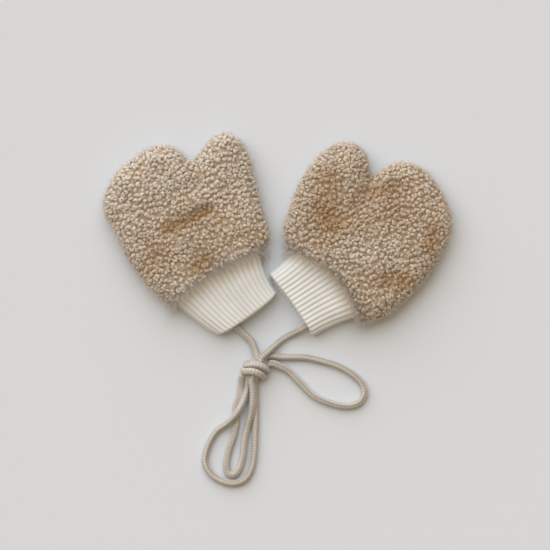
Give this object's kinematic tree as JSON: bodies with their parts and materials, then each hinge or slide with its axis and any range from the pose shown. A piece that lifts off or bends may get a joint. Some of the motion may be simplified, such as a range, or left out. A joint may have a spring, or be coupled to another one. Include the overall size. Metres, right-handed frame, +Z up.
{
  "type": "pair of mittens",
  "caption": "Pair of small pile-cloth mittens laid flat, with ribbed knit cuffs joined by a knit cord that is tied in a loose bow.",
  "frame": {"origin": "on the surface that the pair lies on, under the middle of the box round both mittens without the cord", "axes": "+X towards the right-hand mitten as laid, +Y towards the fingertips, +Z up from the surface"},
  "size_m": [0.2509, 0.2543, 0.02],
  "materials": {
    "boucle_pile": "looped bouclé pile",
    "rib_knit": "matt 1x1 rib knit",
    "cord_knit": "matt tubular knit"
  },
  "bodies": {
    "root": {"left_hand_upper": "boucle_pile", "left_hand_under": "boucle_pile", "right_hand_upper": "boucle_pile", "right_hand_under": "boucle_pile", "left_cuff": "rib_knit", "right_cuff": "rib_knit", "cord_lead_left": "cord_knit", "cord_lead_right": "cord_knit", "cord_loop_right": "cord_knit", "cord_loop_outer": "cord_knit", "cord_loop_inner": "cord_knit", "cord_knot": "cord_knit"}
  },
  "joints": []
}
